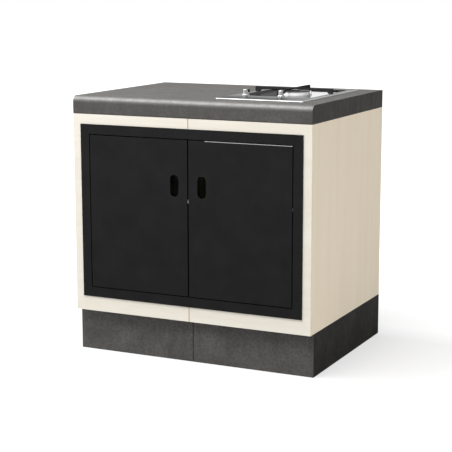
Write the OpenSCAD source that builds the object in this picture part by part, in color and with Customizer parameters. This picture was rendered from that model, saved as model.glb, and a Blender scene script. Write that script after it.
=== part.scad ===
// Outdoor kitchen module with a narrow gas hob, on a recessed plinth.
// X runs along the front, Y from the front to the back, Z up. The origin is on the floor,
// in the middle of the whole outline. All sizes are in millimetres.

/* [Unit] */
// Width of the module
unit_w = 900; // [800:10:1200]
// Depth of the module, from the cream front to the back
unit_d = 675; // [600:5:800]
// Height of the plinth
plinth_h = 150; // [100:5:200]
// Height of the cream body
body_h = 700; // [600:10:800]

/* [Boards] */
// Thickness of the body's boards
board_t = 19; // [16:1:25]
// Thickness of the back panel
back_t = 12; // [8:1:18]
// Thickness of the plinth's boards
plinth_t = 20; // [15:1:30]
// How far the plinth stands back from the front
plinth_setback = 30; // [15:5:60]
// Width of the open seam between two front boards
seam_w = 0.6; // [0.4:0.1:2]
// Width of a vent slot in the back panel
vent_w = 60; // [40:5:100]
// Height of a vent slot
vent_h = 8; // [5:1:12]
// Radius of the hose hole in the back panel
hose_r = 30; // [20:1:40]

/* [Frame] */
// Width of the square tube of the inner frame
tube_w = 30; // [25:1:40]
// Wall of that tube
tube_t = 2; // [1.5:0.5:4]
// Radius of a levelling foot's pad
foot_r = 25; // [18:1:35]
// Thickness of a levelling foot's pad
foot_t = 8; // [5:1:12]
// Radius of a levelling foot's screw
foot_screw_r = 6; // [4:1:10]

/* [Worktop] */
// Thickness of the worktop
top_h = 62; // [45:1:80]
// Radius of the rounded front edge
nose_r = 22; // [12:1:26]
// Radius of the small rounding under the front edge
low_r = 4; // [2:0.5:6]

/* [Door set] */
// Width of the cream front beside the steel frame
side_margin = 30; // [20:1:60]
// Height of the cream front under the frame
low_margin = 52; // [40:1:80]
// Height of the cream front over the frame
top_margin = 34.5; // [30:0.5:60]
// Width of the flange that shows round the doors
flange_w = 34; // [28:1:45]
// How far the flange stands out of the cream front
frame_proud = 3; // [2:0.5:5]
// Depth of the sleeve behind the flange
sleeve_d = 45; // [35:1:60]
// Thickness of the steel sheet
sheet_t = 2; // [1.5:0.5:3]
// Gap between a door and the frame
door_gap = 3.5; // [2.5:0.5:5]
// Gap between the two doors
middle_gap = 5; // [3:0.5:8]
// Depth of a door's folded edge
door_d = 18; // [17:1:20]
// Width of the lip folded in behind a door
lip_w = 14; // [10:1:20]
// Radius of a hinge pin
pin_r = 3; // [2.5:0.5:3.5]
// Distance of the hinge axis from the door's edge and from its face
hinge_inset = 7; // [7:0.5:8]
// Radius of the bar through each door
bar_r = 7; // [4:0.5:7.5]
// Distance of that bar below the top of the doorway
bar_drop = 213; // [211:1:260]
// Width of a finger slot
slot_w = 32; // [24:1:40]
// Height of a finger slot
slot_h = 75; // [60:1:90]
// Distance of a finger slot's middle from the middle of the unit
slot_x = 52; // [45:1:120]
// Distance of a finger slot's middle below the top of the doorway
slot_drop = 161; // [80:1:163]

/* [Hob] */
// Width of the hob
hob_w = 320; // [280:5:360]
// Depth of the hob from front to back
hob_d = 520; // [480:5:560]
// Distance of the hob's right edge from the side of the unit
hob_margin = 65; // [65:5:140]
// How far the hob's rim stands above the worktop
rim_h = 5; // [3:0.5:8]
// Thickness of the hob's steel sheet
hob_t = 1.2; // [0.8:0.1:2]
// Width of the rim at the sides and at the back of the well
rim_w = 26; // [20:1:35]
// Depth of the flat front part that carries the knobs
panel_d = 128; // [110:1:150]
// Depth of the well below the rim
well_h = 6; // [4:0.5:8]
// Radius of the well's corners
well_r = 26; // [15:1:40]
// Radius of the rim's outer corners
rim_r = 4; // [2:0.5:8]
// Rounding along the rim's top edge
rim_edge_r = 4; // [2:0.5:4.5]
// How much narrower the worktop's cut-out is than the rim, on each side
rim_lap = 14; // [10:1:18]
// Gap between the under tray and the cut-out
tray_gap = 5; // [3:1:8]

/* [Burner] */
// How far the burner's middle lies in front of the well's middle
burner_shift = 10; // [0:1:20]
// Radius of the outer burner ring
ring_r = 56; // [50:1:65]
// Height of the outer burner ring
ring_h = 8; // [6:0.5:12]
// Width of the outer burner ring, from its opening to its rim
ring_band = 22; // [18:1:22]
// Radius of the inner burner crown
crown_r = 21; // [16:0.5:24]
// Height of the inner burner crown
crown_h = 9; // [7:0.5:12]
// Thickness of a burner cap
cap_t = 3.5; // [2.5:0.5:5]
// Number of flame slots in the outer ring
ring_ports = 36; // [24:1:48]
// Number of flame slots in the inner crown
crown_ports = 16; // [10:1:24]

/* [Pan support] */
// Reach of the pan support to each side
support_x = 147; // [140:1:150]
// Reach of the pan support to the front and to the back
support_y = 142; // [130:1:150]
// Height of the pan support above the rim
support_h = 18; // [16:1:30]
// Thickness of an arm, seen from above
arm_w = 8; // [6:0.5:12]
// Height of an arm in the middle
arm_mid_h = 3.5; // [3:0.5:6]
// Height of an arm at its outer end
arm_end_h = 11; // [8:0.5:14]
// Length of the leg under an arm's outer end
leg_l = 21; // [12:1:24]
// Height of the rubber pad under a leg
pad_h = 1.5; // [1:0.5:3]

/* [Knobs] */
// Distance of the left knob from the hob's middle
knob_left_x = -79; // [-110:1:-60]
// Distance of the right knob from the hob's middle
knob_right_x = 52; // [30:1:110]
// Distance of the knobs from the hob's front edge
knob_y = 68; // [55:1:85]
// Radius of the knob's grip
grip_r = 9; // [7:0.5:11]
// Height of the knob's grip
grip_h = 16; // [14:1:24]
// Radius of the knob's skirt
skirt_r = 12.5; // [10:0.5:16]
// Height of the knob's skirt
skirt_h = 6; // [4:0.5:8]
// Gap under the knob that it is pushed into
push_gap = 4.6; // [4.6:0.1:8]
// Radius of the spindle
spindle_r = 4; // [3:0.5:5]
// Radius of the sleeve round the spindle
sleeve_r = 6; // [5.5:0.5:7]
// Width of the black pointer on a knob
pointer_w = 5; // [3:0.5:6]
// How far the pointer stands out of the grip
pointer_l = 6; // [3:0.5:8]

/* [Gas] */
// Radius of the gas pipes
pipe_r = 5; // [4:0.5:6]
// Radius of the manifold
manifold_r = 8; // [6:0.5:9]
// Outer radius of the inlet's thread
inlet_r = 10.48; // [8:0.01:12]
// Length of the inlet's thread
inlet_l = 18; // [14:1:24]
// Distance of the inlet from the hob's middle
inlet_x = 100; // [60:1:110]
// Distance of the inlet from the back of the cut-out
inlet_back = 52; // [40:1:110]

/* [Hidden] */
$fn = 64;

// Running clearance of a turning or sliding fit, on the radius
fit_gap = 0.06;
// Clearance between two bodies that only face each other
body_gap = 0.3;

half_w = unit_w / 2;
front_y = -(unit_d - frame_proud) / 2;
back_y = front_y + unit_d;
body_z = plinth_h;
body_top_z = body_z + body_h;
work_z = body_top_z + top_h;
inner_half_w = half_w - board_t;
inner_front_y = front_y + board_t;
inner_back_y = back_y - back_t;
floor_top_z = body_z + board_t;
rail_z = body_top_z - tube_w;

frame_face_y = front_y - frame_proud;
frame_half_w = half_w - side_margin;
frame_low_z = body_z + low_margin;
frame_top_z = body_top_z - top_margin;
mouth_half_w = frame_half_w - flange_w;
mouth_low_z = frame_low_z + flange_w;
mouth_top_z = frame_top_z - flange_w;
hole_gap = 2;
hole_half_w = mouth_half_w + sheet_t + hole_gap;
hole_low_z = mouth_low_z - sheet_t - hole_gap;
hole_top_z = mouth_top_z + sheet_t + hole_gap;

door_out_x = mouth_half_w - door_gap;
door_in_x = middle_gap / 2;
door_w = door_out_x - door_in_x;
door_low_z = mouth_low_z + door_gap;
door_h = mouth_top_z - mouth_low_z - 2 * door_gap;
bar_z = mouth_top_z - bar_drop;
slot_z = mouth_top_z - slot_drop;
hinge_x = door_out_x - hinge_inset;
hinge_y = frame_face_y + hinge_inset;
bar_y = frame_face_y + sheet_t + bar_r + 0.5;
block_w = 12;
block_h = 14;
catch_w = 46;
catch_h = 14;
catch_d = 16;

hob_front_y = front_y + (unit_d - hob_d) / 2;
hob_mid_y = hob_front_y + hob_d / 2;
hob_x = half_w - hob_margin - hob_w / 2;
rim_z = work_z + rim_h;
well_z = rim_z - well_h;
well_w = hob_w - 2 * rim_w;
well_d = hob_d - panel_d - rim_w;
well_mid_y = hob_front_y + panel_d + well_d / 2;
burner_mid_y = well_mid_y - burner_shift;
cut_w = hob_w - 2 * rim_lap;
cut_d = hob_d - 2 * rim_lap;
cut_r = 10;
tray_w = cut_w - 2 * tray_gap;
tray_d = cut_d - 2 * tray_gap;
tray_t = 1.2;
tray_r = 6;
tray_z = body_top_z + 1;
tray_h = rim_z - hob_t - tray_z;
cut_back_y = hob_mid_y + cut_d / 2;

ring_in_r = ring_r - ring_band;
bowl_r = ring_r - 12;
bowl_h = 26;
bowl_lip = 2;
ring_z = well_z + bowl_lip;
ring_cap_z = ring_z + ring_h;
cap_z = ring_z + crown_h;
port_w = 1.6;
port_h = 3;

knob_axis_y = hob_front_y + knob_y;
knob_z = rim_z + push_gap;
push_travel = 4;
panel_hole_r = sleeve_r + 1;
valve_r = 13;
valve_h = 30;
valve_top_z = rim_z - hob_t - 1;
valve_low_z = valve_top_z - valve_h;
guide_d = 12 + push_travel;
outlet_l = 8;
pipe_z = valve_low_z + 8;
boss_h = 3;
manifold_y = knob_axis_y;
manifold_z = valve_low_z - boss_h - manifold_r;
inlet_top_z = tray_z + tray_t + 10;
inlet_pos_x = hob_x + inlet_x;
inlet_pos_y = cut_back_y - inlet_back;

pan_top_z = rim_z + support_h;

// Rounded rectangle with true arcs at its corners, centred on the origin
module round_rect(w, d, r) {
  square([w - 2 * r, d], center = true);
  square([w, d - 2 * r], center = true);
  for (x = [-1, 1], y = [-1, 1])
    translate([x * (w / 2 - r), y * (d / 2 - r)]) circle(r);
}

// Slab with rounded corners, standing on z
module round_slab(x, y, z, w, d, h, r) {
  translate([x, y, z]) linear_extrude(h) round_rect(w, d, r);
}

// Block given by its lowest corner and its size
module block(x, y, z, w, d, h) {
  translate([x, y, z]) cube([w, d, h]);
}

// Block centred on x, standing on z
module mid_block(x, y, z, w, d, h) {
  translate([x - w / 2, y, z]) cube([w, d, h]);
}

// Hexagonal prism with the given corner radius
module hexagon(r, h) {
  linear_extrude(h) polygon([for (a = [0 : 60 : 300]) [r * cos(a), r * sin(a)]]);
}

// Outline in the XZ plane, made solid from y to y + d
module upright(y, d) {
  translate([0, y + d, 0]) rotate([90, 0, 0]) linear_extrude(d) children();
}

// Square tube along Z, given by its lowest corner
module tube_z(x, y, z, l) {
  difference() {
    block(x, y, z, tube_w, tube_w, l);
    block(x + tube_t, y + tube_t, z - 1, tube_w - 2 * tube_t, tube_w - 2 * tube_t, l + 2);
  }
}

// Square tube along X
module tube_x(x, y, z, l) {
  difference() {
    block(x, y, z, l, tube_w, tube_w);
    block(x - 1, y + tube_t, z + tube_t, l + 2, tube_w - 2 * tube_t, tube_w - 2 * tube_t);
  }
}

// Square tube along Y
module tube_y(x, y, z, l) {
  difference() {
    block(x, y, z, tube_w, l, tube_w);
    block(x + tube_t, y - 1, z + tube_t, tube_w - 2 * tube_t, l + 2, tube_w - 2 * tube_t);
  }
}

// Body

// Side panel with its front edge mitred into the front panel; side is -1 or 1
module side_panel(side) {
  t = board_t;
  translate([0, 0, body_z])
    linear_extrude(body_h)
      polygon([
        [side * half_w, front_y],
        [side * half_w, back_y],
        [side * (half_w - t), back_y],
        [side * (half_w - t), front_y + t]
      ]);
}

module side_panel_left() {
  color("#f0eade") side_panel(-1);
}

module side_panel_right() {
  color("#f0eade") side_panel(1);
}

// Half of the front, cut out for the door set and mitred at its outer edge
module front_panel(side) {
  t = board_t;
  difference() {
    translate([0, 0, body_z])
      linear_extrude(body_h)
        polygon([
          [side * half_w, front_y],
          [side * (half_w - t), front_y + t],
          [side * seam_w / 2, front_y + t],
          [side * seam_w / 2, front_y]
        ]);
    mid_block(0, front_y - 1, hole_low_z, 2 * hole_half_w, t + 2, hole_top_z - hole_low_z);
  }
}

module front_panel_left() {
  color("#f0eade") front_panel(-1);
}

module front_panel_right() {
  color("#f0eade") front_panel(1);
}

vent_pitch = vent_w + 20;
vent_count = 5;
vent_low_z = body_z + 60;
vent_top_z = body_top_z - 90;
hose_x = inner_half_w - 130;
hose_z = body_z + 150;

// Outline of one vent slot with round ends
module vent_slot() {
  square([vent_w - vent_h, vent_h], center = true);
  for (x = [-1, 1]) translate([x * (vent_w - vent_h) / 2, 0]) circle(vent_h / 2);
}

module back_panel() {
  color("#e6dcc8")
    upright(inner_back_y, back_t)
      difference() {
        translate([-inner_half_w, body_z]) square([2 * inner_half_w, body_h]);
        for (i = [0 : vent_count - 1], z = [vent_low_z, vent_top_z])
          translate([(i - (vent_count - 1) / 2) * vent_pitch, z]) vent_slot();
        translate([hose_x, hose_z]) circle(hose_r);
      }
}

module floor_panel() {
  color("#e6dcc8")
    block(-inner_half_w, inner_front_y, body_z,
          2 * inner_half_w, inner_back_y - inner_front_y, board_t);
}

// Inner frame

post_front_y = inner_front_y;
post_back_y = inner_back_y - tube_w;
post_h = rail_z - floor_top_z;

module post(side, y) {
  color("#8c8e90")
    tube_z(side > 0 ? inner_half_w - tube_w : -inner_half_w, y, floor_top_z, post_h);
}

module post_front_left() { post(-1, post_front_y); }
module post_front_right() { post(1, post_front_y); }
module post_back_left() { post(-1, post_back_y); }
module post_back_right() { post(1, post_back_y); }

module top_rail_front() {
  color("#8c8e90") tube_x(-inner_half_w, post_front_y, rail_z, 2 * inner_half_w);
}

module top_rail_back() {
  color("#8c8e90") tube_x(-inner_half_w, post_back_y, rail_z, 2 * inner_half_w);
}

side_rail_l = post_back_y - post_front_y - tube_w;

module top_rail_left() {
  color("#8c8e90") tube_y(-inner_half_w, post_front_y + tube_w, rail_z, side_rail_l);
}

module top_rail_right() {
  color("#8c8e90") tube_y(inner_half_w - tube_w, post_front_y + tube_w, rail_z, side_rail_l);
}

// Plinth

plinth_front_y = front_y + plinth_setback;

// Front board, mitred at its outer end
module plinth_front(side) {
  t = plinth_t;
  color("#4b4947")
    linear_extrude(plinth_h)
      polygon([
        [side * half_w, plinth_front_y],
        [side * (half_w - t), plinth_front_y + t],
        [side * seam_w / 2, plinth_front_y + t],
        [side * seam_w / 2, plinth_front_y]
      ]);
}

module plinth_front_left() { plinth_front(-1); }
module plinth_front_right() { plinth_front(1); }

// Side board, mitred at its front end
module plinth_side(side) {
  t = plinth_t;
  color("#403e3c")
    linear_extrude(plinth_h)
      polygon([
        [side * half_w, plinth_front_y],
        [side * half_w, back_y],
        [side * (half_w - t), back_y],
        [side * (half_w - t), plinth_front_y + t]
      ]);
}

module plinth_left() { plinth_side(-1); }
module plinth_right() { plinth_side(1); }

module plinth_back() {
  color("#403e3c")
    block(-half_w + plinth_t, back_y - plinth_t, 0, 2 * (half_w - plinth_t), plinth_t, plinth_h);
}

foot_inset = 90;

// Screw foot: a pad with a rounded edge, a screw, a lock nut and a top plate
module levelling_foot() {
  socket_t = 6;
  nut_z = 40;
  nut_h = 8;
  rotate_extrude() {
    difference() {
      square([foot_r, foot_t]);
      translate([foot_r - 3, foot_t - 3]) square([4, 4]);
    }
    translate([foot_r - 3, foot_t - 3]) intersection() {
      circle(3);
      square(3);
    }
    square([foot_screw_r, plinth_h]);
    translate([0, foot_t]) square([foot_screw_r + 4, 5]);
    translate([0, plinth_h - socket_t]) square([foot_r, socket_t]);
    translate([0, plinth_h - socket_t - 24]) square([foot_screw_r + 6, 24]);
  }
  translate([0, 0, nut_z]) hexagon(foot_screw_r + 5, nut_h);
}

module levelling_feet() {
  color("#6f7173")
    for (x = [-1, 1], y = [plinth_front_y + foot_inset, back_y - foot_inset])
      translate([x * (half_w - foot_inset), y, 0]) levelling_foot();
}

// Worktop

// Cross-section of the worktop, with y to the right and z up
module worktop_section() {
  translate([nose_r, 0]) square([unit_d - nose_r, top_h]);
  translate([0, low_r]) square([nose_r + 1, top_h - nose_r - low_r]);
  translate([low_r, 0]) square([nose_r, low_r + 1]);
  translate([nose_r, top_h - nose_r]) circle(nose_r);
  translate([low_r, low_r]) circle(low_r);
}

module worktop() {
  color("#7c7875")
    difference() {
      translate([-half_w, front_y, body_top_z])
        rotate([90, 0, 90]) linear_extrude(unit_w) worktop_section();
      round_slab(hob_x, hob_mid_y, body_top_z - 1, cut_w, cut_d, top_h + 2, cut_r);
    }
}

// Door set

// Rectangular ring in the XZ plane
module ring_outline(half_out, low_out, top_out, half_in, low_in, top_in) {
  difference() {
    translate([-half_out, low_out]) square([2 * half_out, top_out - low_out]);
    translate([-half_in, low_in]) square([2 * half_in, top_in - low_in]);
  }
}

module door_frame() {
  t = sheet_t;
  color("#2a2a2b")
    difference() {
      union() {
        upright(frame_face_y, frame_proud)
          ring_outline(frame_half_w, frame_low_z, frame_top_z,
                       mouth_half_w, mouth_low_z, mouth_top_z);
        upright(frame_face_y, frame_proud + sleeve_d)
          ring_outline(mouth_half_w + t, mouth_low_z - t, mouth_top_z + t,
                       mouth_half_w, mouth_low_z, mouth_top_z);
      }
      for (side = [-1, 1])
        translate([side * hinge_x, hinge_y, mouth_low_z - t - 1])
          cylinder(r = pin_r, h = mouth_top_z - mouth_low_z + 2 * t + 2);
    }
}

// Outline of a finger slot with round ends, in the XZ plane
module finger_slot() {
  square([slot_w, slot_h - slot_w], center = true);
  for (z = [-1, 1]) translate([0, z * (slot_h - slot_w) / 2]) circle(slot_w / 2);
}

// Right door as a folded tray with a finger slot, pivot blocks and a bar through its edges
module door_tray() {
  t = sheet_t;
  y0 = frame_face_y;
  color("#262627")
    difference() {
      union() {
        difference() {
          block(door_in_x, y0, door_low_z, door_w, door_d, door_h);
          block(door_in_x + t, y0 + t, door_low_z + t,
                door_w - 2 * t, door_d - 2 * t, door_h - 2 * t);
          block(door_in_x + lip_w, y0 + door_d / 2, door_low_z + lip_w,
                door_w - 2 * lip_w, door_d, door_h - 2 * lip_w);
        }
        for (z = [door_low_z, door_low_z + door_h - block_h])
          mid_block(hinge_x, hinge_y - hinge_inset + t / 2, z, block_w, block_w, block_h);
      }
      translate([hinge_x, hinge_y, door_low_z - 1])
        cylinder(r = pin_r + fit_gap, h = block_h + 1 - t);
      translate([hinge_x, hinge_y, door_low_z + door_h - block_h + t])
        cylinder(r = pin_r + fit_gap, h = block_h);
      translate([slot_x, 0, slot_z]) upright(y0 - 1, t + 2) finger_slot();
      translate([door_in_x - 1, bar_y, bar_z])
        rotate([0, 90, 0]) cylinder(r = bar_r, h = door_w + 2);
    }
}

module door_right() { door_tray(); }
module door_left() { mirror([1, 0, 0]) door_tray(); }

// Round bar that ties the two edges of a door
module door_bar() {
  bore_r = bar_r - 1.5;
  bore_l = 12;
  color("#d8dadc")
    translate([door_in_x, bar_y, bar_z]) rotate([0, 90, 0])
      difference() {
        cylinder(r = bar_r, h = door_w);
        for (z = [-1, door_w - bore_l + 1]) translate([0, 0, z]) cylinder(r = bore_r / 2, h = bore_l);
      }
}

module door_bar_right() { door_bar(); }
module door_bar_left() { mirror([1, 0, 0]) door_bar(); }

pin_l = sheet_t + door_gap + block_h - sheet_t - 2;

// Lower and upper hinge pin, each held in the frame's sleeve and reaching into a pivot block
module hinge_pin_pair(side) {
  color("#c9cccf")
    for (z = [mouth_low_z - sheet_t, mouth_top_z + sheet_t - pin_l])
      translate([side * hinge_x, hinge_y, z]) cylinder(r = pin_r, h = pin_l);
}

module hinge_pins_left() { hinge_pin_pair(-1); }
module hinge_pins_right() { hinge_pin_pair(1); }

// Magnet catch hung under the frame's sleeve, just behind the door's folded lip
module catch(side) {
  y0 = frame_face_y + door_d + body_gap;
  x0 = side * (door_in_x + lip_w + catch_w / 2 + 6);
  color("#3a3b3d") {
    mid_block(x0, y0 + 3, mouth_top_z - catch_h, catch_w, catch_d, catch_h);
    for (dx = [-1, 1])
      mid_block(x0 + dx * catch_w / 4, y0, mouth_top_z - catch_h + 1, catch_w / 5, 3, catch_h - 4);
  }
}

module catch_left() { catch(-1); }
module catch_right() { catch(1); }

// Hob

// Cross-section of the rim with its top edges rounded, w wide
module rim_section(w) {
  r = rim_edge_r;
  translate([-w / 2, 0]) square([w, rim_h - r]);
  translate([r - w / 2, 0]) square([w - 2 * r, rim_h]);
  for (side = [-1, 1]) translate([side * (w / 2 - r), rim_h - r]) circle(r);
}

// Rim plate with rounded corners and a rounded top edge all round
module rim_plate() {
  intersection() {
    round_slab(hob_x, hob_mid_y, work_z, hob_w, hob_d, rim_h, rim_r);
    upright(hob_mid_y - hob_d / 2, hob_d) translate([hob_x, work_z]) rim_section(hob_w);
    translate([hob_x - hob_w / 2, hob_mid_y, work_z])
      rotate([90, 0, 90]) linear_extrude(hob_w) rim_section(hob_d);
  }
}

module hob_top() {
  t = hob_t;
  wall = 1.5 * t;
  color("#b9babb")
    difference() {
      union() {
        rim_plate();
        round_slab(hob_x, well_mid_y, well_z - t, well_w + 2 * t, well_d + 2 * t, well_h, well_r + t);
      }
      difference() {
        round_slab(hob_x, hob_mid_y, work_z - 1, hob_w - 2 * wall, hob_d - 2 * wall,
                   rim_h + 1 - t, rim_r - wall);
        round_slab(hob_x, well_mid_y, well_z - t, well_w + 2 * t, well_d + 2 * t, well_h, well_r + t);
      }
      round_slab(hob_x, well_mid_y, well_z, well_w, well_d, well_h + 1, well_r);
      for (x = [knob_left_x, knob_right_x])
        translate([hob_x + x, knob_axis_y, rim_z - 5]) cylinder(r = panel_hole_r, h = 10);
      translate([hob_x, burner_mid_y, well_z - 5]) cylinder(r = bowl_r, h = 10);
      for (a = [45, 135])
        at_burner(well_z - 5) rotate(a) translate([ring_r + 8, 0, 0]) cylinder(r = 4, h = 10);
    }
}

module hob_seal() {
  lap = rim_lap - 4;
  color("#1d1d1d")
    difference() {
      round_slab(hob_x, hob_mid_y, work_z, cut_w + 2 * lap, cut_d + 2 * lap, rim_h - hob_t, cut_r);
      round_slab(hob_x, hob_mid_y, work_z - 1, cut_w + 2, cut_d + 2, rim_h, cut_r);
    }
}

module hob_tray() {
  t = tray_t;
  color("#a9abad")
    difference() {
      round_slab(hob_x, hob_mid_y, tray_z, tray_w, tray_d, tray_h, tray_r);
      round_slab(hob_x, hob_mid_y, tray_z + t, tray_w - 2 * t, tray_d - 2 * t, tray_h, tray_r - t);
      translate([inlet_pos_x, inlet_pos_y, tray_z - 1]) cylinder(r = inlet_r, h = 5);
    }
}

clamp_l = 44;
clamp_w = 18;
clamp_t = 3;
clamp_foot = 14;
clamp_drop = 10;
clamp_screw_r = 3;
clamp_screw_head = 6;
clamp_inset = 110;
clamp_y = hob_d / 2 - clamp_inset;
clamp_reach = clamp_l - clamp_w / 2;

// Clamp bar under the worktop, with the lug that joins it to the tray
module clamp(side, y) {
  x0 = hob_x + side * (tray_w / 2 - clamp_foot);
  bar_z0 = tray_z - clamp_drop;
  translate([x0, y - clamp_w / 2, 0]) {
    translate([side > 0 ? 0 : -clamp_l, 0, bar_z0]) difference() {
      cube([clamp_l, clamp_w, clamp_t]);
      translate([side > 0 ? clamp_reach : clamp_l - clamp_reach, clamp_w / 2, -1])
        cylinder(r = clamp_screw_r, h = clamp_t + 2);
    }
    translate([side > 0 ? 0 : -3 * clamp_t, 0, bar_z0]) cube([3 * clamp_t, clamp_w, tray_z - bar_z0]);
  }
}

module hob_clamps() {
  color("#8c8e90")
    for (side = [-1, 1], y = [hob_mid_y - clamp_y, hob_mid_y + clamp_y]) clamp(side, y);
}

// Screw that presses up against the worktop's underside
module clamp_screw() {
  bar_z0 = tray_z - clamp_drop;
  translate([0, 0, bar_z0 - clamp_screw_head]) cylinder(r = clamp_screw_r + 2.5, h = clamp_screw_head);
  translate([0, 0, bar_z0]) cylinder(r = clamp_screw_r, h = body_top_z - bar_z0);
}

module clamp_screws() {
  color("#c9cccf")
    for (side = [-1, 1], y = [hob_mid_y - clamp_y, hob_mid_y + clamp_y])
      translate([hob_x + side * (tray_w / 2 - clamp_foot + clamp_reach), y, 0]) clamp_screw();
}

// Burner

// Ring with flame slots cut down into its wall from the top
module flame_ring(out_r, in_r, h, ports) {
  difference() {
    rotate_extrude() translate([in_r, 0]) square([out_r - in_r, h]);
    for (i = [0 : ports - 1])
      rotate(i * 360 / ports)
        translate([out_r - 5, -port_w / 2, h - port_h]) cube([10, port_w, port_h + 1]);
  }
}

module at_burner(z) {
  translate([hob_x, burner_mid_y, z]) children();
}

bowl_wall = 2;
bowl_out_r = bowl_r - 0.2;
column_r = 9;

// Bowl hung in the well by its lip, with a column for the crown and two gas holes
module burner_bowl() {
  color("#9fa1a3")
    difference() {
      at_burner(well_z - bowl_h)
        rotate_extrude() {
          difference() {
            square([bowl_out_r, bowl_h + bowl_lip]);
            translate([column_r, bowl_wall])
              square([bowl_out_r - bowl_wall - column_r, bowl_h + bowl_lip]);
          }
          translate([bowl_out_r - bowl_wall, bowl_h])
            square([ring_r + 1 - bowl_out_r + bowl_wall, bowl_lip]);
        }
      at_burner(pipe_z) {
        translate([-bowl_r - 1, 0, 0]) rotate([0, 90, 0]) cylinder(r = pipe_r, h = 6);
        translate([0, -bowl_r - 1, 0])
          rotate([-90, 0, 0]) cylinder(r = pipe_r, h = bowl_r + 1 - pipe_end);
      }
    }
}

// Outer ring: two walls tied by spokes, with flame slots in the outer wall
module burner_ring() {
  wall_out = 6;
  wall_in = 4;
  color("#c3c5c7")
    at_burner(ring_z) {
      flame_ring(ring_r, ring_r - wall_out, ring_h, ring_ports);
      rotate_extrude() {
        translate([ring_in_r, 0]) square([wall_in, ring_h]);
        translate([bowl_r - 3, 0]) square([ring_r - 1 - bowl_r + 3, 2]);
      }
      for (a = [45 : 90 : 315])
        rotate(a) translate([ring_in_r + 2, -2, 0]) cube([ring_band - 5, 4, 3]);
    }
}

module burner_ring_cap() {
  color("#c3c5c7")
    at_burner(ring_cap_z)
      rotate_extrude() {
        translate([ring_in_r, 0]) square([ring_r - 1 - ring_in_r, cap_t - 1]);
        translate([ring_in_r + 1, 0]) square([ring_r - 3 - ring_in_r, cap_t]);
      }
}

module burner_crown() {
  color("#c3c5c7")
    at_burner(ring_z) {
      flame_ring(crown_r, crown_r - 7, crown_h, crown_ports);
      cylinder(r = crown_r - 6, h = crown_h - port_h);
    }
}

module burner_cap() {
  dome_r = 90;
  color("#1b1b1c")
    at_burner(cap_z)
      intersection() {
        cylinder(r = crown_r + 1, h = cap_t + 2);
        translate([0, 0, cap_t + 1.5 - dome_r]) sphere(dome_r, $fn = 128);
      }
}

// Ceramic pin beside the burner ring, given by its angle
module burner_pin(a, h) {
  at_burner(well_z - 12) rotate(a) translate([ring_r + 8, 0, 0]) {
    cylinder(r = 3.4, h = 12 + h);
    translate([0, 0, 12 + h]) cylinder(r = 1.1, h = 5);
    translate([0, 0, 12]) cylinder(r = 5, h = 1.2);
  }
}

module igniter() {
  color("#ece9e2") burner_pin(45, 7);
}

module flame_sensor() {
  color("#b98a4c") burner_pin(135, 6);
}

// Pan support

// Side view of one arm from the middle outwards, with its leg down to foot_z
module arm_profile(reach, foot_z) {
  top = pan_top_z;
  polygon([
    [0, top],
    [reach, top],
    [reach, foot_z],
    [reach - leg_l + 4, foot_z],
    [reach - leg_l, top - arm_end_h],
    [arm_w, top - arm_mid_h],
    [0, top - arm_mid_h]
  ]);
}

// Arm that points along the given angle
module arm(a, reach, foot_z) {
  translate([hob_x, burner_mid_y, 0]) rotate(a)
    translate([0, arm_w / 2, 0]) rotate([90, 0, 0]) linear_extrude(arm_w) arm_profile(reach, foot_z);
}

side_foot_z = rim_z + body_gap + pad_h;
well_foot_z = well_z + body_gap + pad_h;

module pan_support() {
  color("#202021") {
    for (a = [0, 180]) arm(a, support_x, side_foot_z);
    for (a = [90, 270]) arm(a, support_y, well_foot_z);
    translate([hob_x, burner_mid_y, pan_top_z - arm_mid_h]) cylinder(r = arm_w, h = arm_mid_h);
  }
}

// Rubber pad under a leg
module support_pad(a, reach, foot_z) {
  translate([hob_x, burner_mid_y, foot_z - pad_h]) rotate(a)
    translate([reach - leg_l + 5, -arm_w / 2 + 0.5, 0]) cube([leg_l - 6, arm_w - 1, pad_h]);
}

module support_pads() {
  color("#111111") {
    for (a = [0, 180]) support_pad(a, support_x, side_foot_z);
    for (a = [90, 270]) support_pad(a, support_y, well_foot_z);
  }
}

// Knobs and valves

module at_knob(x, z) {
  translate([hob_x + x, knob_axis_y, z]) children();
}

// Knob: a rounded skirt with a slimmer grip on it
module knob(x) {
  edge = 1.5;
  bore_h = 16;
  color("#e4e6e8")
    at_knob(x, knob_z)
      difference() {
        union() {
          rotate_extrude() {
            square([skirt_r - edge, skirt_h]);
            square([skirt_r, skirt_h - edge]);
            translate([skirt_r - edge, skirt_h - edge]) circle(edge);
            square([grip_r - edge, skirt_h + grip_h]);
            square([grip_r, skirt_h + grip_h - edge]);
            translate([grip_r - edge, skirt_h + grip_h - edge]) circle(edge);
          }
        }
        translate([0, 0, -1]) cylinder(r = spindle_r, h = bore_h + 1);
        translate([0, 0, -edge]) cylinder(r = sleeve_r + 1.5, h = edge + 2);
        translate([grip_r - 4, -pointer_w / 2, skirt_h + 6]) cube([pointer_l + 10, pointer_w, grip_h]);
      }
}

module knob_left() { knob(knob_left_x); }
module knob_right() { knob(knob_right_x); }

// Black pointer let into the knob's grip
module knob_pointer(x) {
  color("#141415")
    at_knob(x, knob_z + skirt_h + 6)
      translate([grip_r - 4, -pointer_w / 2, 0]) cube([pointer_l + 4, pointer_w, grip_h - 6]);
}

module knob_pointer_left() { knob_pointer(knob_left_x); }
module knob_pointer_right() { knob_pointer(knob_right_x); }

spindle_low_z = valve_top_z - 10;

// Spindle pressed into the knob, with a flat on its lower end
module spindle(x) {
  bore_h = 16;
  color("#b5a06a")
    at_knob(x, spindle_low_z)
      difference() {
        cylinder(r = spindle_r, h = knob_z + bore_h - spindle_low_z);
        translate([spindle_r - 1, -spindle_r, -1]) cube([2, 2 * spindle_r, 5]);
      }
}

module spindle_left() { spindle(knob_left_x); }
module spindle_right() { spindle(knob_right_x); }

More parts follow.
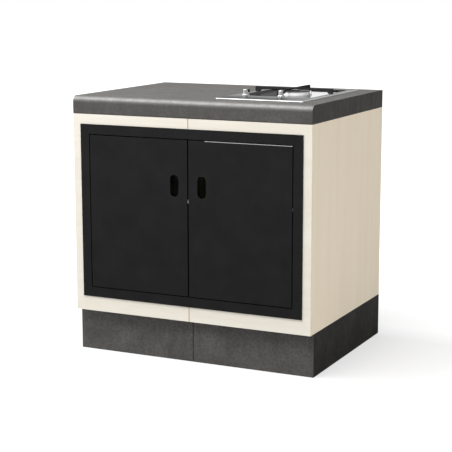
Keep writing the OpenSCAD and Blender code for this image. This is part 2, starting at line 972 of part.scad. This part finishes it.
sleeve_low_z = valve_top_z - 8;
sleeve_top_z = knob_z + 1.7;

// Sleeve that moves in with the knob and doesn't turn
module spindle_sleeve(x) {
  color("#9c9ea0")
    at_knob(x, sleeve_low_z)
      difference() {
        cylinder(r = sleeve_r, h = sleeve_top_z - sleeve_low_z);
        translate([0, 0, -1]) cylinder(r = spindle_r + fit_gap, h = sleeve_top_z - sleeve_low_z + 2);
      }
}

module spindle_sleeve_left() { spindle_sleeve(knob_left_x); }
module spindle_sleeve_right() { spindle_sleeve(knob_right_x); }

// Gas valve with a guide bore for the sleeve and an outlet to the back
module valve(x) {
  color("#b08d4f")
    at_knob(x, valve_low_z)
      difference() {
        union() {
          cylinder(r = valve_r, h = valve_h);
          translate([-valve_r, -valve_r, 0]) cube([2 * valve_r, 2 * valve_r, 14]);
          translate([0, valve_r - 1, pipe_z - valve_low_z])
            rotate([-90, 0, 0]) cylinder(r = pipe_r + 1.5, h = outlet_l + 1);
        }
        translate([0, 0, valve_h - guide_d]) cylinder(r = sleeve_r + fit_gap, h = guide_d + 1);
      }
}

module valve_left() { valve(knob_left_x); }
module valve_right() { valve(knob_right_x); }

pipe_end = 5;

// Straight round bar between two points
module pipe(a, b, r) {
  d = b - a;
  l = norm(d);
  translate(a) rotate([0, acos(d[2] / l), atan2(d[1], d[0])]) cylinder(r = r, h = l);
}

// Round bend where two bars meet
module bend(a, r) {
  translate(a) sphere(r);
}

// Pipe that carries the gas to both valves, with a boss under each
module manifold() {
  r = manifold_r;
  start = [hob_x + knob_left_x - 22, manifold_y, manifold_z];
  corner = [inlet_pos_x, manifold_y, manifold_z];
  back = [inlet_pos_x, inlet_pos_y, manifold_z];
  down = [inlet_pos_x, inlet_pos_y, inlet_top_z];
  color("#a9abad") {
    pipe(start, corner, r);
    bend(corner, r);
    pipe(corner, back, r);
    bend(back, r);
    pipe(back, down, r);
    for (x = [knob_left_x, knob_right_x])
      at_knob(x, manifold_z) cylinder(r = r + 1, h = r + boss_h);
  }
}

outlet_y = knob_axis_y + valve_r + outlet_l;

// Pipe from the left valve to the bowl's outer space
module outer_pipe() {
  x = hob_x + knob_left_x;
  corner = [x, burner_mid_y, pipe_z];
  pipe([x, outlet_y, pipe_z], corner, pipe_r);
  bend(corner, pipe_r);
  pipe(corner, [hob_x - bowl_r + 3, burner_mid_y, pipe_z], pipe_r);
}

// Pipe from the right valve to the bowl's column
module inner_pipe() {
  x = hob_x + knob_right_x;
  y = outlet_y + 40;
  corner = [x, y, pipe_z];
  turn = [hob_x, y, pipe_z];
  pipe([x, outlet_y, pipe_z], corner, pipe_r);
  bend(corner, pipe_r);
  pipe(corner, turn, pipe_r);
  bend(turn, pipe_r);
  pipe(turn, [hob_x, burner_mid_y - pipe_end, pipe_z], pipe_r);
}

module feed_pipes() {
  color("#a9abad") {
    outer_pipe();
    inner_pipe();
  }
}

// Inlet under the manifold: a hexagon, a flange on the tray's floor and a thread below it
module gas_inlet() {
  floor_z = tray_z + tray_t;
  color("#b08d4f")
    translate([inlet_pos_x, inlet_pos_y, 0])
      difference() {
        union() {
          translate([0, 0, tray_z - inlet_l]) cylinder(r = inlet_r, h = inlet_l);
          translate([0, 0, tray_z - 1]) cylinder(r = inlet_r - 0.5, h = tray_t + 2);
          translate([0, 0, floor_z]) cylinder(r = inlet_r + 6, h = 3);
          translate([0, 0, floor_z]) hexagon(inlet_r + 4, inlet_top_z - floor_z);
        }
        translate([0, 0, tray_z - inlet_l - 1]) cylinder(r = inlet_r - 4, h = inlet_l);
      }
}

side_panel_left();
side_panel_right();
front_panel_left();
front_panel_right();
back_panel();
floor_panel();
post_front_left();
post_front_right();
post_back_left();
post_back_right();
top_rail_front();
top_rail_back();
top_rail_left();
top_rail_right();
plinth_front_left();
plinth_front_right();
plinth_left();
plinth_right();
plinth_back();
levelling_feet();
worktop();
door_frame();
door_left();
door_right();
door_bar_left();
door_bar_right();
hinge_pins_left();
hinge_pins_right();
catch_left();
catch_right();
hob_top();
hob_seal();
hob_tray();
hob_clamps();
clamp_screws();
burner_bowl();
burner_ring();
burner_ring_cap();
burner_crown();
burner_cap();
igniter();
flame_sensor();
pan_support();
support_pads();
knob_left();
knob_right();
knob_pointer_left();
knob_pointer_right();
spindle_left();
spindle_right();
spindle_sleeve_left();
spindle_sleeve_right();
valve_left();
valve_right();
manifold();
feed_pipes();
gas_inlet();
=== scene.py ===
import math

import bpy
from mathutils import Matrix, Vector


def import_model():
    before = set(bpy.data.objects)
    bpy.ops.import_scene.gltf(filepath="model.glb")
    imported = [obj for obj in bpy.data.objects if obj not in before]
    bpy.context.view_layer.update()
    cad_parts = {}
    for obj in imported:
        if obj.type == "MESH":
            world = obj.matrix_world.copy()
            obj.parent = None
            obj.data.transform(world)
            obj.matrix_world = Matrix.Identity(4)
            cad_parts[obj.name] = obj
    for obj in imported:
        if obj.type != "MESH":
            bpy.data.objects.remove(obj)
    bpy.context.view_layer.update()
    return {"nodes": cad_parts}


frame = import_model()
scene = bpy.context.scene
scene.view_settings.view_transform = "Standard"


# Nodes of a material

# The sockets of a Mix node share their names, so they go by number
FACTOR = 0
VALUE_A, VALUE_B, VALUE_OUT = 2, 3, 0
COLOUR_A, COLOUR_B, COLOUR_OUT = 6, 7, 2


def grey(level):
    return (level, level, level)


def srgb(r, g, b):
    return tuple(c / 12.92 if c <= 0.04045 else ((c + 0.055) / 1.055) ** 2.4
                 for c in (r / 255, g / 255, b / 255))


def set_stops(ramp, stops):
    """Fills a colour ramp from pairs of a position and a colour."""
    while len(ramp.elements) < len(stops):
        ramp.elements.new(0.5)
    for element, (position, colour) in zip(ramp.elements, stops):
        element.position = position
        element.color = (*colour, 1)


class Surface:
    """A material with short calls for its nodes."""

    def __init__(self, name):
        self.mat = bpy.data.materials.new(name)
        self.mat.use_nodes = True
        self.tree = self.mat.node_tree
        self.shader = self.tree.nodes["Principled BSDF"]
        self.coords = self.tree.nodes.new("ShaderNodeTexCoord").outputs["Object"]

    def set(self, **values):
        """Sets sockets of the shader; an underscore stands for a space in a socket's name."""
        for key, value in values.items():
            self.shader.inputs[key.replace("_", " ")].default_value = value
        return self

    def link(self, out, socket):
        self.tree.links.new(out, socket)

    def axes(self):
        """The object's coordinates as outputs X, Y and Z, in metres."""
        node = self.tree.nodes.new("ShaderNodeSeparateXYZ")
        self.link(self.coords, node.inputs[0])
        return node.outputs

    def scaled(self, factors):
        node = self.tree.nodes.new("ShaderNodeMapping")
        node.inputs["Scale"].default_value = factors
        self.link(self.coords, node.inputs["Vector"])
        return node.outputs["Vector"]

    def noise(self, vector, scale, detail, rough, distortion=0.0):
        node = self.tree.nodes.new("ShaderNodeTexNoise")
        self.link(vector, node.inputs["Vector"])
        node.inputs["Scale"].default_value = scale
        node.inputs["Detail"].default_value = detail
        node.inputs["Roughness"].default_value = rough
        node.inputs["Distortion"].default_value = distortion
        return node.outputs[0]

    def cells(self, scale):
        node = self.tree.nodes.new("ShaderNodeTexVoronoi")
        self.link(self.coords, node.inputs["Vector"])
        node.inputs["Scale"].default_value = scale
        return node.outputs

    def ramp(self, value, *stops):
        node = self.tree.nodes.new("ShaderNodeValToRGB")
        set_stops(node.color_ramp, stops)
        self.link(value, node.inputs["Fac"])
        return node.outputs["Color"]

    def mix(self, amount, a, b, mode="MIX"):
        """Mixes two colours; each argument is an output, a number or a colour."""
        node = self.tree.nodes.new("ShaderNodeMix")
        node.data_type = "RGBA"
        node.blend_type = mode
        for value, number in ((amount, FACTOR), (a, COLOUR_A), (b, COLOUR_B)):
            socket = node.inputs[number]
            if hasattr(value, "links"):
                self.link(value, socket)
            else:
                socket.default_value = value if isinstance(value, float) else (*value, 1)
        return node.outputs[COLOUR_OUT]

    def spread(self, value, low, high, to_low, to_high):
        """Maps low to high onto to_low to to_high and holds the ends beyond them."""
        node = self.tree.nodes.new("ShaderNodeMapRange")
        node.inputs["From Min"].default_value = low
        node.inputs["From Max"].default_value = high
        node.inputs["To Min"].default_value = to_low
        node.inputs["To Max"].default_value = to_high
        self.link(value, node.inputs["Value"])
        return node.outputs["Result"]

    def seamed(self, body, tint):
        """Another colour within 1.6 mm of the plane X = 0, where two boards meet."""
        gap = self.tree.nodes.new("ShaderNodeMath")
        gap.operation = "ABSOLUTE"
        self.link(self.axes()["X"], gap.inputs[0])
        return self.mix(self.spread(gap.outputs[0], 0.0012, 0.0016, 1, 0), body, tint)

    def colour(self, out):
        self.link(out, self.shader.inputs["Base Color"])

    def roughness(self, out):
        self.link(out, self.shader.inputs["Roughness"])

    def bump(self, height, distance, strength):
        node = self.tree.nodes.new("ShaderNodeBump")
        node.inputs["Strength"].default_value = strength
        node.inputs["Distance"].default_value = distance
        self.link(height, node.inputs["Height"])
        self.link(node.outputs["Normal"], self.shader.inputs["Normal"])


# Kinds of material

def stretched(axis, along, across):
    """A scale for each axis: one number along the grain, another across it."""
    return [along if letter == axis else across for letter in "xyz"]


def board(name, axis, pale, deep, seam=None):
    """Pale lacquered veneer with its grain along an axis; seam is the core's colour where boards meet."""
    s = Surface(name)
    grain = s.noise(s.scaled(stretched(axis, 14, 260)), 1.0, 4, 0.6, 0.3)
    bands = s.noise(s.scaled(stretched(axis, 1.5, 22)), 1.0, 3, 0.5, 0.6)
    body = s.ramp(bands, (0.25, deep), (0.75, pale))
    lines = s.ramp(grain, (0.30, (0.95, 0.94, 0.92)), (0.60, grey(1)))
    body = s.mix(0.55, body, lines, "MULTIPLY")
    s.colour(s.seamed(body, seam) if seam else body)
    s.roughness(s.spread(grain, 0.3, 0.7, 0.42, 0.52))
    s.bump(grain, 0.0002, 0.4)
    return s.set(Specular_IOR_Level=0.35)


def stone(name, low, high, sheen, streaks, seam=None):
    """Honed dark stone with soft clouds, strokes, fine grain and small pale flecks."""
    s = Surface(name)
    clouds = s.noise(s.coords, 9.0, 5, 0.62, 0.4)
    strokes = s.noise(s.scaled((26, 26, 10)), 1.0, 5, 0.65, 0.5)
    grain = s.noise(s.coords, 130.0, 5, 0.75)
    body = s.ramp(clouds, (0.34, low), (0.66, high))
    worked = s.ramp(strokes, (0.35, (0.74, 0.73, 0.71)), (0.65, grey(1.26)))
    body = s.mix(streaks, body, worked, "MULTIPLY")
    speckle = s.ramp(grain, (0.35, (0.55, 0.55, 0.54)), (0.65, grey(1.45)))
    body = s.mix(0.8, body, speckle, "MULTIPLY")
    flecks = s.cells(70.0)
    near = s.spread(flecks["Distance"], 0.05, 0.09, 1.0, 0.0)
    some = s.ramp(flecks["Color"], (0.90, grey(0)), (0.93, grey(1)))
    body = s.mix(s.mix(1.0, near, some, "MULTIPLY"), body, srgb(176, 172, 165))
    s.colour(s.seamed(body, seam) if seam else body)
    fine = s.spread(grain, 0.35, 0.65, 0.56, 0.50)
    broad = s.spread(strokes, 0.35, 0.65, 0.63, 0.43)
    s.roughness(s.mix(0.4, fine, broad))
    s.bump(grain, 0.0003, 0.15)
    return s.set(Specular_IOR_Level=sheen)


def powder_coat(name, painted_highlight_from=None):
    """Fine black coat; from a given height up, right of X = 63 mm, a painted highlight in light grey
    where the door's top edge catches the light.
    """
    s = Surface(name)
    clouds = s.noise(s.coords, 14.0, 4, 0.6)
    grit = s.noise(s.coords, 900.0, 2, 0.5)
    coat = s.ramp(clouds, (0.3, srgb(20, 20, 21)), (0.7, srgb(25, 25, 26)))
    if painted_highlight_from:
        at = s.axes()
        # Painted highlight: the top edge turns light grey, standing in for the light it catches
        high = s.spread(at["Z"], painted_highlight_from - 0.0002, painted_highlight_from, 0, 1)
        right = s.spread(at["X"], 0.063, 0.066, 0, 1)
        coat = s.mix(s.mix(1.0, high, right, "MULTIPLY"), coat, grey(0.36))
    s.colour(coat)
    s.roughness(s.spread(grit, 0.3, 0.7, 0.50, 0.62))
    s.bump(grit, 0.0004, 0.35)
    return s.set(Specular_IOR_Level=0.15)


def steel(name, tint, rough, axis=None, streak=0.05, relief=0.2):
    """Metal, with fine lines along an axis where it's brushed."""
    s = Surface(name)
    sizes = stretched(axis, 4, 900) if axis else (160, 160, 160)
    lines = s.noise(s.scaled(sizes), 1.0, 3, 0.6)
    cloud = s.noise(s.coords, 22.0, 3, 0.55)
    dark = [c * (1 - streak) for c in tint]
    s.colour(s.ramp(lines, (0.3, dark), (0.7, tint)))
    s.roughness(s.spread(cloud, 0.3, 0.7, rough * 0.85, rough * 1.2))
    if relief:
        s.bump(lines, 0.00002, relief)
    return s.set(Metallic=1.0)


# Places on the hob, in metres, over which one look passes into the next
WELL_TO_RIM_Z = (0.9160, 0.9166)
FRONT_LINE_Y = (-0.2545, -0.2535)
RIGHT_EDGE_X = (0.3795, 0.3810)


def hob_steel():
    """Satin rim, smoother toward its front, with a painted sheen that brightens it toward the front; a
    polished well darkened by painted shade, painted shade on the rounded front edge, and a right edge
    painted flat grey in place of its reflection.
    """
    s = steel("hob_steel", grey(0.62), 0.3, "x", streak=0.02, relief=0)
    tint = s.shader.inputs["Base Color"].links[0].from_socket
    at = s.axes()
    satin = s.spread(at["Y"], -0.25, -0.14, 0.22, 0.42)
    polished = s.spread(at["Z"], *WELL_TO_RIM_Z, 0.07, 1.0)
    s.roughness(s.mix(1.0, satin, polished, "DARKEN"))
    # Painted sheen: the colour brightens toward the front
    rim = s.spread(at["Y"], -0.255, -0.20, 0.85, 0.72)
    # Painted shade: the well is darkened
    well = s.spread(at["Z"], *WELL_TO_RIM_Z, 0.8, 1.0)
    # Painted shade on the rounded front edge, dimming its highlight
    front_line = s.spread(at["Y"], *FRONT_LINE_Y, 0.6, 1.0)
    shade = s.mix(1.0, s.mix(1.0, rim, well, "DARKEN"), front_line, "MULTIPLY")
    # The right edge is painted flat grey and loses its metal, standing in for its reflection
    right_edge = s.spread(at["X"], *RIGHT_EDGE_X, 0.0, 1.0)
    s.colour(s.mix(right_edge, s.mix(1.0, tint, shade, "MULTIPLY"), grey(0.33)))
    s.link(s.spread(at["X"], *RIGHT_EDGE_X, 1.0, 0.0), s.shader.inputs["Metallic"])
    return s.set(Specular_Tint=(*grey(0.6), 1))


def moulded(name, low, high, rough, scale=500.0):
    """Plastic, rubber, enamel or casting with a fine skin."""
    s = Surface(name)
    skin = s.noise(s.coords, scale, 3, 0.6)
    cloud = s.noise(s.coords, 30.0, 3, 0.5)
    s.colour(s.ramp(cloud, (0.3, low), (0.7, high)))
    s.roughness(s.spread(skin, 0.3, 0.7, rough * 0.9, rough * 1.1))
    s.bump(skin, 0.0002, 0.3)
    return s


# Materials of the nodes

def dress(nodes, surface):
    """Gives CAD nodes one material."""
    for name in nodes.split():
        mesh = frame["nodes"][name].data
        mesh.materials.clear()
        mesh.materials.append(surface.mat)


# One cream board in three tones, lit and shaded copies: the front painted darker against the lamp's
# light, the right side painted lighter against its shade, the left side in between
dress("front_panel_left front_panel_right",
      board("cream_front", "x", srgb(206, 202, 192), srgb(200, 194, 182), seam=srgb(150, 120, 88)))
dress("side_panel_right", board("cream_side", "z", srgb(252, 239, 217), srgb(247, 232, 207)))
dress("side_panel_left", board("cream_side_left", "z", srgb(222, 211, 193), srgb(216, 204, 183)))
dress("back_panel floor_panel",
      board("cream_inner", "x", srgb(224, 219, 206), srgb(214, 206, 190)))

TUBE = (0.62, 0.63, 0.64)
dress("post_front_left post_front_right post_back_left post_back_right",
      steel("tube_upright", TUBE, 0.42, "z"))
dress("top_rail_front top_rail_back", steel("tube_along", TUBE, 0.42, "x"))
dress("top_rail_left top_rail_right", steel("tube_across", TUBE, 0.42, "y"))

dress("worktop",
      stone("worktop_stone", srgb(50, 48, 45), srgb(62, 59, 56), sheen=1.0, streaks=0.7))
dress("plinth_front_left plinth_front_right",
      stone("plinth_stone", srgb(64, 62, 60), srgb(75, 73, 71), sheen=0.5, streaks=0.45,
            seam=srgb(14, 14, 14)))
# The plinth's sides and back are a shaded copy of its stone: painted shade, darker than the front
dress("plinth_left plinth_right plinth_back",
      stone("plinth_stone_side", srgb(48, 47, 45), srgb(58, 57, 55), sheen=0.4, streaks=0.45))
dress("levelling_feet", steel("zinc", (0.42, 0.43, 0.45), 0.45))

dress("door_frame door_left", powder_coat("black_powder_coat"))
# Depth of the painted highlight along the right door's top edge
PAINTED_HIGHLIGHT_DEPTH = 0.0014
door_top = max(corner[2] for corner in frame["nodes"]["door_right"].bound_box)
dress("door_right", powder_coat("black_powder_coat_painted_highlight", door_top - PAINTED_HIGHLIGHT_DEPTH))
# The bars are painted near-white and not metal, a painted highlight for their ends in the door gaps
dress("door_bar_left door_bar_right",
      steel("bar_steel", grey(0.95), 0.4, "x").set(Metallic=0.0))
dress("hinge_pins_left hinge_pins_right", steel("pin_blackened", grey(0.06), 0.45))
dress("clamp_screws", steel("screw_steel", (0.66, 0.67, 0.68), 0.3))
dress("catch_left catch_right",
      moulded("catch_plastic", srgb(34, 34, 36), srgb(42, 42, 44), 0.5))

dress("hob_top", hob_steel())
dress("hob_tray hob_clamps manifold feed_pipes",
      steel("galvanised", (0.50, 0.52, 0.53), 0.45, streak=0.15))
dress("hob_seal", moulded("seal_foam", srgb(24, 24, 24), srgb(34, 34, 34), 0.8))
dress("burner_bowl burner_ring burner_crown",
      steel("burner_alloy", grey(0.84), 0.5, streak=0.02).set(Metallic=0.15))
dress("burner_ring_cap", steel("burner_cap_dark", (0.24, 0.24, 0.25), 0.35, streak=0.04))
dress("burner_cap", moulded("black_enamel", srgb(18, 18, 19), srgb(24, 24, 25), 0.25, scale=260.0))
dress("igniter", moulded("white_ceramic", srgb(226, 225, 222), srgb(236, 235, 232), 0.3))
dress("flame_sensor", steel("sensor_steel", (0.80, 0.78, 0.75), 0.35))
cast = moulded("cast_black", srgb(14, 14, 15), srgb(20, 20, 21), 0.6, scale=700.0)
dress("pan_support", cast.set(Specular_IOR_Level=0.3))
dress("support_pads", moulded("pad_rubber", srgb(18, 18, 18), srgb(26, 26, 26), 0.75))
dress("knob_left knob_right",
      steel("knob_chrome", grey(0.88), 0.16, streak=0.02).set(Metallic=0.84))
dress("knob_pointer_left knob_pointer_right",
      moulded("pointer_black", srgb(16, 16, 17), srgb(22, 22, 23), 0.3))
dress("spindle_left spindle_right valve_left valve_right gas_inlet",
      steel("brass", (0.78, 0.58, 0.26), 0.3))
dress("spindle_sleeve_left spindle_sleeve_right",
      steel("sleeve_steel", (0.66, 0.67, 0.68), 0.25))


# Eased edges of boards and doors

def soften(nodes, width):
    for name in nodes.split():
        ease = frame["nodes"][name].modifiers.new("eased_edges", "BEVEL")
        ease.width = width
        ease.segments = 2
        ease.limit_method = "ANGLE"
        ease.angle_limit = math.radians(40)


soften("front_panel_left front_panel_right side_panel_left side_panel_right", 0.0008)
soften("door_left door_right", 0.0010)
soften("plinth_front_left plinth_front_right plinth_left plinth_right plinth_back", 0.0012)


# Camera, solved from the cabinet's edges in the photograph: angles in radians, place in metres

YAW, PITCH, ROLL = -0.4500041, 0.1818285, 0.0016496
CAMERA_PLACE = (2.076566, -4.341716, 1.314338)
FOCAL_PIXELS, PICTURE_PIXELS = 1349.78, 452
SENSOR_MM = 36


def camera():
    cy, sy, cp, sp = math.cos(YAW), math.sin(YAW), math.cos(PITCH), math.sin(PITCH)
    ahead = Vector((sy * cp, cy * cp, -sp))
    right = Vector((cy, -sy, 0))
    down = ahead.cross(right)
    cr, sr = math.cos(ROLL), math.sin(ROLL)
    right, down = cr * right + sr * down, cr * down - sr * right
    data = bpy.data.cameras.new("camera")
    data.sensor_width = SENSOR_MM
    data.lens = SENSOR_MM * FOCAL_PIXELS / PICTURE_PIXELS
    data.clip_end = 100
    cam = bpy.data.objects.new("camera", data)
    scene.collection.objects.link(cam)
    turn = Matrix((right, -down, -ahead)).transposed().to_4x4()
    cam.matrix_world = Matrix.Translation(CAMERA_PLACE) @ turn
    scene.camera = cam


# Floor, background and light

FLOOR_REACH = 12


def floor():
    """Pale to the camera, with a painted shadow: it glows less near the unit and more away from it and
    past its back; painted shade makes it darker in reflections close to it.
    """
    mesh = bpy.data.meshes.new("floor")
    r = FLOOR_REACH
    mesh.from_pydata([(-r, -r, 0), (r, -r, 0), (r, r, 0), (-r, r, 0)], [], [(0, 1, 2, 3)])
    obj = bpy.data.objects.new("floor", mesh)
    scene.collection.objects.link(obj)
    s = Surface("floor_white")
    s.set(Roughness=0.9, Specular_IOR_Level=0.0, Emission_Color=(1, 1, 1, 1))
    path = s.tree.nodes.new("ShaderNodeLightPath")
    seen = path.outputs["Is Camera Ray"]
    length = s.tree.nodes.new("ShaderNodeVectorMath")
    length.operation = "LENGTH"
    s.link(s.coords, length.inputs[0])
    away = length.outputs["Value"]
    # Painted shade: near the unit the floor is darker in reflections
    mirrored = s.spread(away, 0.6, 3.0, 0.04, 0.22)
    bounced = s.mix(path.outputs["Is Glossy Ray"], grey(0.5), mirrored)
    s.colour(s.mix(seen, bounced, grey(0.3)))
    # Painted shadow: the glow to the camera is lower near the unit and lighter past its back
    glow = s.spread(away, 0.8, 1.6, 0.55, 0.95)
    behind = s.spread(s.axes()["Y"], 0.28, 0.46, 0.0, 0.12)
    glow = s.mix(1.0, glow, behind, "ADD")
    s.link(s.mix(1.0, glow, seen, "MULTIPLY"), s.shader.inputs["Emission Strength"])
    mesh.materials.append(s.mat)


# The world's strengths: a direction first, then pairs of the cosine of the angle from it and a strength
SOFT_LIGHT = ((-0.65, -0.5, 0.55), (-1, 0.5), (-0.6, 0.5), (0, 0.85), (1, 0.9))
MIRRORED = ((-0.4, -0.15, 0.9), (-0.5, 0.3), (0, 0.21), (0.25, 0.16), (0.5, 0.6), (0.65, 0.8),
            (0.85, 1.4), (1, 2.3))

# A bright band low at the horizon, seen in reflections: its height times its place sideways
BAND_HEIGHT = ((0, 0, 1), (-0.01, 0), (0, 1.6), (0.14, 1.6), (0.2, 0))
BAND_SIDEWAYS = ((0.919, 0.393, 0), (-0.004, 0), (0.004, 1), (0.034, 1), (0.05, 0))

BACKGROUND = 1.0


def world():
    """White to the camera; light and reflections are graded from one side to the other."""
    w = bpy.data.worlds.new("studio")
    scene.world = w
    w.use_nodes = True
    nodes, links = w.node_tree.nodes, w.node_tree.links
    back = nodes["Background"]
    back.inputs["Color"].default_value = (1, 1, 1, 1)
    path = nodes.new("ShaderNodeLightPath")
    coords = nodes.new("ShaderNodeTexCoord")

    def graded(way, *stops):
        dot = nodes.new("ShaderNodeVectorMath")
        dot.operation = "DOT_PRODUCT"
        links.new(coords.outputs["Generated"], dot.inputs[0])
        dot.inputs[1].default_value = Vector(way).normalized()
        place = nodes.new("ShaderNodeMapRange")
        place.inputs["From Min"].default_value = -1
        links.new(dot.outputs["Value"], place.inputs["Value"])
        ramp = nodes.new("ShaderNodeValToRGB")
        set_stops(ramp.color_ramp, [((cosine + 1) / 2, grey(value)) for cosine, value in stops])
        links.new(place.outputs["Result"], ramp.inputs["Fac"])
        return ramp.outputs["Color"]

    def joined(operation, a, b):
        node = nodes.new("ShaderNodeMath")
        node.operation = operation
        links.new(a, node.inputs[0])
        links.new(b, node.inputs[1])
        return node.outputs[0]

    def pick(test, yes, no):
        node = nodes.new("ShaderNodeMix")
        links.new(test, node.inputs[FACTOR])
        for value, number in ((no, VALUE_A), (yes, VALUE_B)):
            if hasattr(value, "links"):
                links.new(value, node.inputs[number])
            else:
                node.inputs[number].default_value = value
        return node.outputs[VALUE_OUT]

    band = joined("MULTIPLY", graded(*BAND_HEIGHT), graded(*BAND_SIDEWAYS))
    shine = joined("MAXIMUM", graded(*MIRRORED), band)
    strength = pick(path.outputs["Is Glossy Ray"], shine, graded(*SOFT_LIGHT))
    links.new(pick(path.outputs["Is Camera Ray"], BACKGROUND, strength), back.inputs["Strength"])


def lamp(name, place, aim, size, watts):
    data = bpy.data.lights.new(name, "AREA")
    data.shape = "RECTANGLE"
    data.size, data.size_y = size
    data.energy = watts
    obj = bpy.data.objects.new(name, data)
    obj.location = place
    obj.rotation_euler = (Vector(aim) - Vector(place)).to_track_quat("-Z", "Y").to_euler()
    scene.collection.objects.link(obj)


camera()
floor()
world()
lamp("key", place=(-1.9, -1.96, 4.89), aim=(-1.4, -0.4, 0.6), size=(6.0, 3.12), watts=525)
